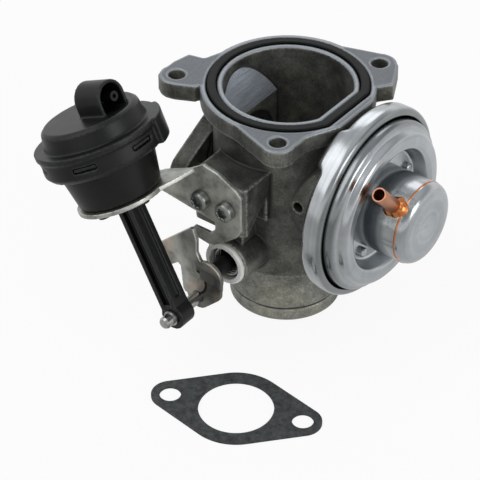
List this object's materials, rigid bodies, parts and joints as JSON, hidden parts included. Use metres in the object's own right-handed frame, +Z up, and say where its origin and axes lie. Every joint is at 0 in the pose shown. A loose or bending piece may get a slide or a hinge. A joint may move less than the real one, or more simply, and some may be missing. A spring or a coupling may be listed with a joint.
{
  "type": "exhaust gas recirculation valve",
  "caption": "Cast throttle duct with flanged top and hose collar, a flap turned by a tilted vacuum actuator, and a gas valve lifted by a large vacuum capsule, with its loose inlet gasket.",
  "frame": {"origin": "on the duct's axis at the lower end of the hose collar", "axes": "+Z up the duct, +X along the gas valve towards its vacuum capsule, -Y towards the flap lever"},
  "size_m": [0.1421, 0.141, 0.1261],
  "materials": {
    "cast_aluminium": "rough cast",
    "black_rubber": "matte",
    "turned_steel": "turned",
    "bronze": "satin",
    "white_nylon": "satin",
    "zinc_sheet": "zinc plated",
    "black_plastic": "satin",
    "capsule_steel": "bright zinc plated",
    "copper": "satin",
    "braze": "satin",
    "gasket_fibre": "matte fibre"
  },
  "bodies": {
    "body": {"valve_housing": "cast_aluminium", "manifold_seal": "black_rubber", "valve_seat": "turned_steel", "stem_guide": "turned_steel", "shaft_bushes": "bronze", "shaft_plug": "turned_steel", "spring_ring": "white_nylon", "return_spring": "turned_steel", "actuator_bracket": "zinc_sheet", "bracket_screws": "zinc_sheet", "actuator_cup": "black_plastic", "actuator_cover": "black_plastic", "actuator_port": "black_plastic", "actuator_rivets": "black_plastic", "actuator_diaphragm": "black_rubber", "actuator_spring": "turned_steel", "capsule_base": "capsule_steel", "capsule_cover": "capsule_steel", "cover_rivets": "capsule_steel", "capsule_cup": "capsule_steel", "capsule_cap": "capsule_steel", "capsule_nipple": "copper", "nipple_braze": "braze", "cup_braze": "braze", "capsule_diaphragm": "black_rubber", "capsule_spring": "turned_steel", "inlet_gasket": "gasket_fibre"},
    "flap": {"flap_shaft": "turned_steel", "flap_plate": "turned_steel", "flap_screws": "turned_steel", "flap_lever": "zinc_sheet", "lever_pin": "turned_steel", "pin_clip": "turned_steel"},
    "rod": {"actuator_rod": "black_plastic"},
    "piston": {"actuator_piston": "black_plastic"},
    "valve": {"valve_stem": "turned_steel", "valve_poppet": "turned_steel", "capsule_piston": "turned_steel"}
  },
  "joints": [
    {"name": "flap_turn", "type": "hinge", "parent": "body", "child": "flap", "pos_m": [0, 0, 0.0398], "axis": [0, 1, 0], "range_deg": [0, 78], "stiffness_Nm_per_rad": 0.05, "springref_deg": -34.38, "deforming": ["return_spring"]},
    {"name": "rod_swing", "type": "hinge", "parent": "flap", "child": "rod", "pos_m": [-0.00505, -0.068, 0.0272], "axis": [0, 1, 0], "range_deg": [-78, 0]},
    {"name": "piston_slide", "type": "slide", "parent": "body", "child": "piston", "axis": [-0.4384, 0, 0.8988], "range_m": [0, 0.0175], "deforming": ["actuator_spring", "actuator_diaphragm"]},
    {"name": "valve_lift", "type": "slide", "parent": "body", "child": "valve", "axis": [1, 0, 0], "range_m": [0, 0.0034], "stiffness_N_per_m": 3000, "springref_m": -0.006, "deforming": ["capsule_spring", "capsule_diaphragm"]}
  ],
  "couplings": [
    {"joint": "rod_swing", "follows": "flap_turn", "ratio": -1},
    {"joint": "piston_slide", "follows": "flap_turn", "m_per_rad": 0.01253}
  ]
}
